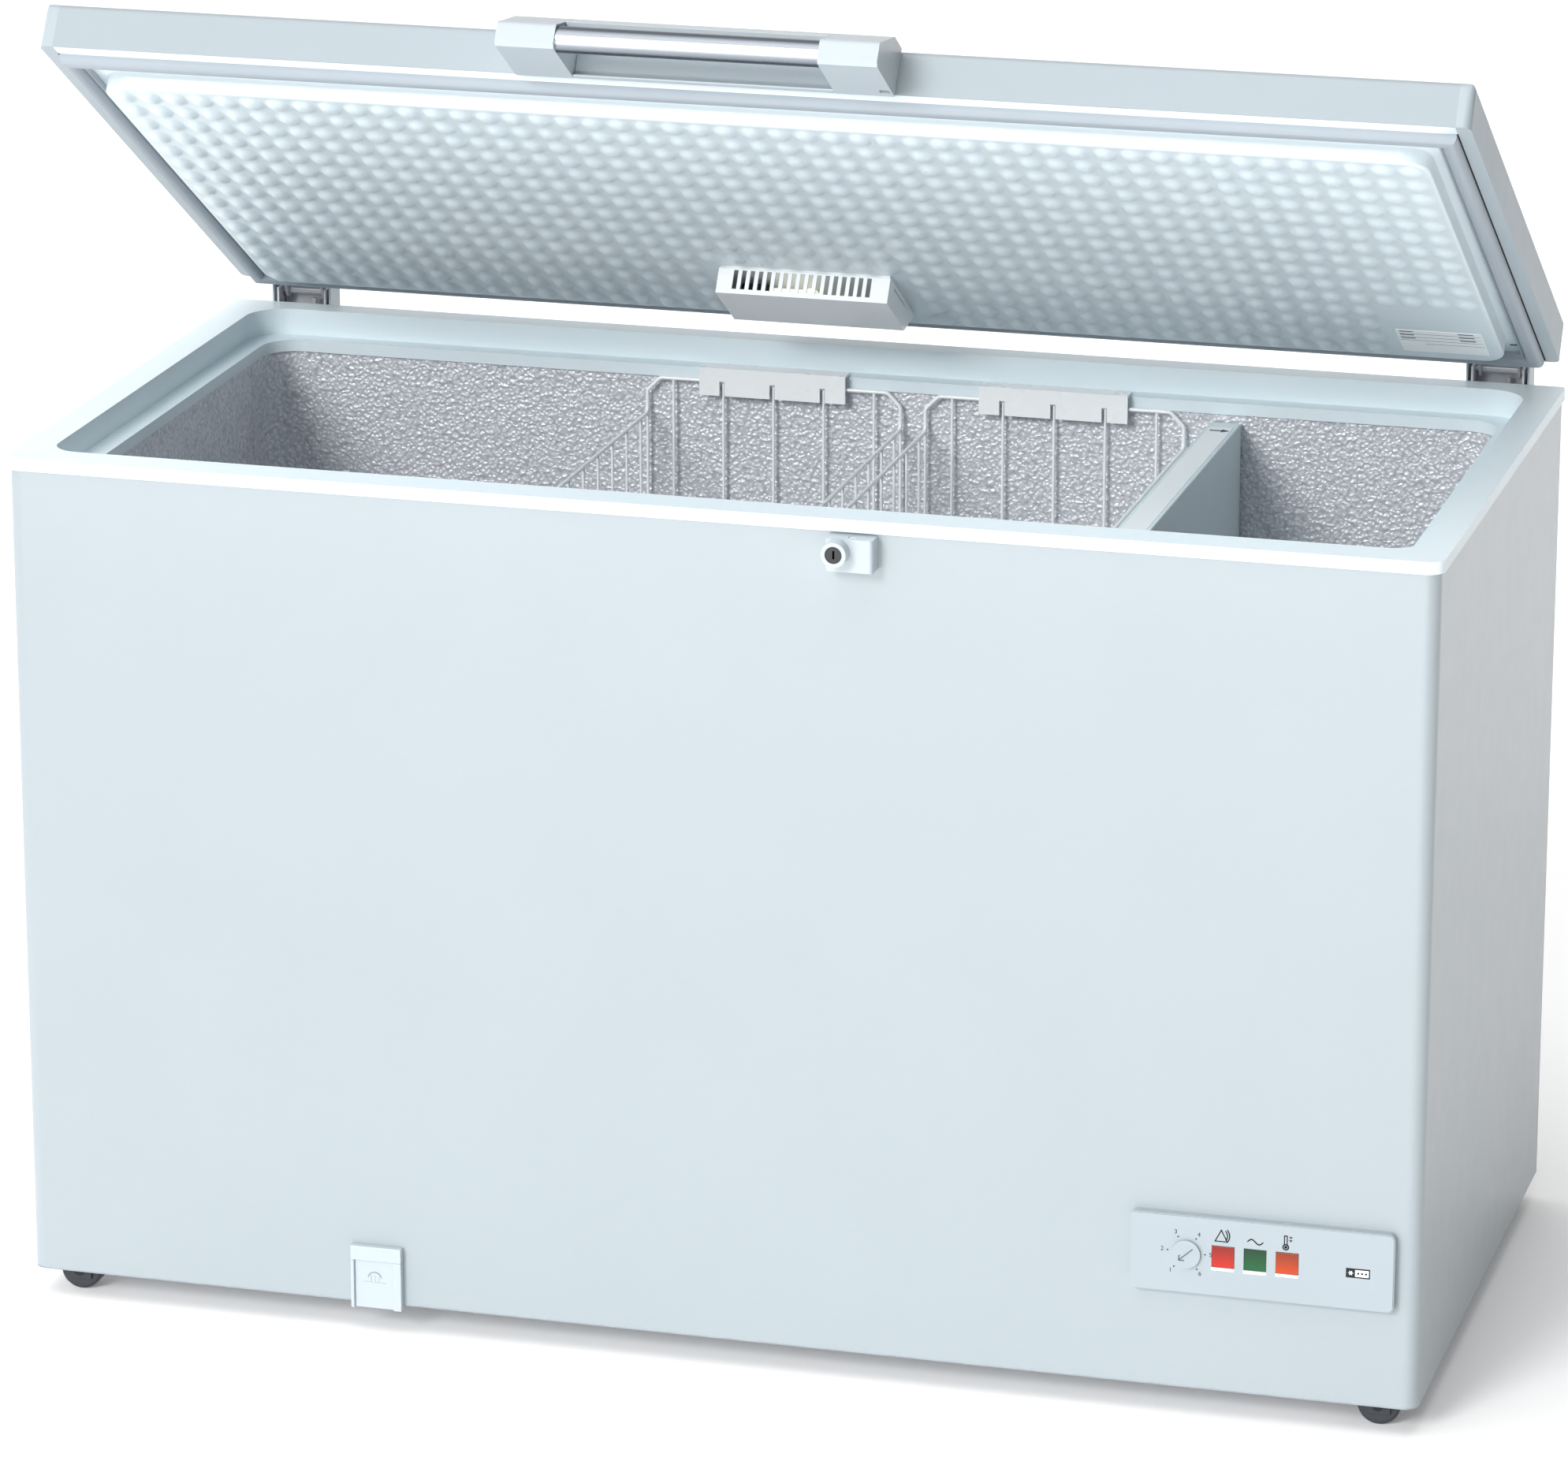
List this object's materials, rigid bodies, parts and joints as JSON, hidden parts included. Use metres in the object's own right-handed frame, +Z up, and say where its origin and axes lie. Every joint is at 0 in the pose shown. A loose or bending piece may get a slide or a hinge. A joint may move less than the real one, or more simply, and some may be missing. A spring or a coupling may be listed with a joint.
{
  "type": "chest freezer",
  "caption": "Wide chest freezer, lid drawn open: insulated tub with a raised machine step, hanging wire baskets, a divider, bar handle, lock, control panel, drain and castors.",
  "frame": {"origin": "on the floor under the centre of the freezer with the lid open as drawn", "axes": "+X to the right of a person facing the front, +Y from the front to the back, +Z up"},
  "size_m": [1.4, 0.734, 1.3002],
  "materials": {
    "body_paint": "gloss",
    "grey_steel": "satin",
    "black_steel": "satin",
    "foam": "matte",
    "tub_aluminium": "stucco",
    "white_plastic": "satin",
    "frame_plastic": "satin",
    "lid_paint": "gloss",
    "liner_plastic": "satin",
    "seal_rubber": "matte",
    "dark_rubber": "matte",
    "copper": "satin",
    "zinc": "satin",
    "bar_steel": "brushed",
    "dark_plastic": "matte",
    "castor_plastic": "matte",
    "panel_plastic": "satin",
    "red_lens": "gloss",
    "green_lens": "gloss",
    "orange_lens": "gloss",
    "lamp_plastic": "satin",
    "bulb_glass": "frosted",
    "label_film": "satin",
    "wire_coating": "gloss",
    "divider_plastic": "satin"
  },
  "bodies": {
    "cabinet": {"outer_shell": "body_paint", "back_panel": "grey_steel", "base_plate": "grey_steel", "foam_insulation": "foam", "tub_liner": "tub_aluminium", "top_frame": "frame_plastic", "compressor": "black_steel", "compressor_feet": "dark_rubber", "compressor_tray": "grey_steel", "start_relay": "dark_plastic", "condenser_coil": "black_steel", "evaporator_coil": "copper", "filter_drier": "copper", "refrigerant_pipes": "copper", "rear_grille": "black_steel", "power_inlet": "dark_plastic", "thermostat": "white_plastic", "switch_block": "white_plastic", "control_fascia": "panel_plastic", "power_lens": "green_lens", "lock_housing": "white_plastic", "drain_channel": "white_plastic", "castor_brackets": "zinc", "castor_axles": "zinc", "hinge_covers": "white_plastic", "hinge_bases": "zinc", "hinge_pins": "zinc", "hinge_springs": "zinc"},
    "control_knob": {"control_knob": "panel_plastic"},
    "alarm_button": {"alarm_button": "red_lens"},
    "fast_freeze_button": {"fast_freeze_button": "orange_lens"},
    "lock_cylinder": {"lock_cylinder": "dark_plastic"},
    "lock_bolt": {"lock_bolt": "zinc"},
    "drain_plug": {"drain_plug": "white_plastic"},
    "drain_cover": {"drain_cover": "white_plastic"},
    "castor_front_left": {"castor_front_left": "castor_plastic"},
    "castor_front_right": {"castor_front_right": "castor_plastic"},
    "castor_rear_left": {"castor_rear_left": "castor_plastic"},
    "castor_rear_right": {"castor_rear_right": "castor_plastic"},
    "lid": {"hinge_arms": "zinc", "lid_skin": "lid_paint", "lid_end_caps": "white_plastic", "lid_foam": "foam", "lid_liner": "liner_plastic", "lid_gasket": "seal_rubber", "lamp_base": "lamp_plastic", "lamp_cover": "lamp_plastic", "lamp_socket": "dark_plastic", "lamp_bulb": "bulb_glass", "rating_label": "label_film", "handle_ends": "white_plastic", "handle_plate": "white_plastic", "handle_bar": "bar_steel"},
    "basket_left": {"basket_left": "wire_coating", "basket_left_clips": "white_plastic"},
    "basket_right": {"basket_right": "wire_coating", "basket_right_clips": "white_plastic"},
    "divider": {"divider": "divider_plastic"}
  },
  "joints": [
    {"name": "lid_hinge", "type": "hinge", "parent": "cabinet", "child": "lid", "pos_m": [0, 0.354, 0.868], "axis": [-1, 0, 0], "range_deg": [-32.5, 45]},
    {"name": "thermostat_turn", "type": "hinge", "parent": "cabinet", "child": "control_knob", "pos_m": [0.4745, -0.343, 0.168], "axis": [0, 1, 0], "range_deg": [0, 285]},
    {"name": "alarm_press", "type": "slide", "parent": "cabinet", "child": "alarm_button", "axis": [0, 1, 0], "range_m": [0, 0.0025], "stiffness_N_per_m": 300},
    {"name": "fast_freeze_press", "type": "slide", "parent": "cabinet", "child": "fast_freeze_button", "axis": [0, 1, 0], "range_m": [0, 0.0025], "stiffness_N_per_m": 300},
    {"name": "key_turn", "type": "hinge", "parent": "cabinet", "child": "lock_cylinder", "pos_m": [0.134, -0.355, 0.8335], "axis": [0, 1, 0], "range_deg": [0, 90]},
    {"name": "bolt_rise", "type": "slide", "parent": "cabinet", "child": "lock_bolt", "axis": [0, 0, 1], "range_m": [0, 0.027]},
    {"name": "drain_plug_lift", "type": "slide", "parent": "cabinet", "child": "drain_plug", "axis": [0, 0, 1], "range_m": [0, 0.06]},
    {"name": "drain_cover_pull", "type": "slide", "parent": "cabinet", "child": "drain_cover", "axis": [0, -1, 0], "range_m": [0, 0.04]},
    {"name": "roll_front_left", "type": "hinge", "parent": "cabinet", "child": "castor_front_left", "pos_m": [-0.656, -0.295, 0.021], "axis": [0, 1, 0], "continuous": true},
    {"name": "roll_front_right", "type": "hinge", "parent": "cabinet", "child": "castor_front_right", "pos_m": [0.656, -0.295, 0.021], "axis": [0, 1, 0], "continuous": true},
    {"name": "roll_rear_left", "type": "hinge", "parent": "cabinet", "child": "castor_rear_left", "pos_m": [-0.656, 0.296, 0.021], "axis": [0, 1, 0], "continuous": true},
    {"name": "roll_rear_right", "type": "hinge", "parent": "cabinet", "child": "castor_rear_right", "pos_m": [0.656, 0.296, 0.021], "axis": [0, 1, 0], "continuous": true},
    {"name": "basket_left_slide", "type": "slide", "parent": "cabinet", "child": "basket_left", "axis": [1, 0, 0], "range_m": [-0.386, 0.02]},
    {"name": "basket_right_slide", "type": "slide", "parent": "cabinet", "child": "basket_right", "axis": [1, 0, 0], "range_m": [-0.02, 0.02]},
    {"name": "divider_lift", "type": "slide", "parent": "cabinet", "child": "divider", "axis": [0, 0, 1], "range_m": [0, 0.06]}
  ],
  "couplings": [
    {"joint": "key_turn", "follows": "bolt_rise", "rad_per_m": 58.17}
  ]
}
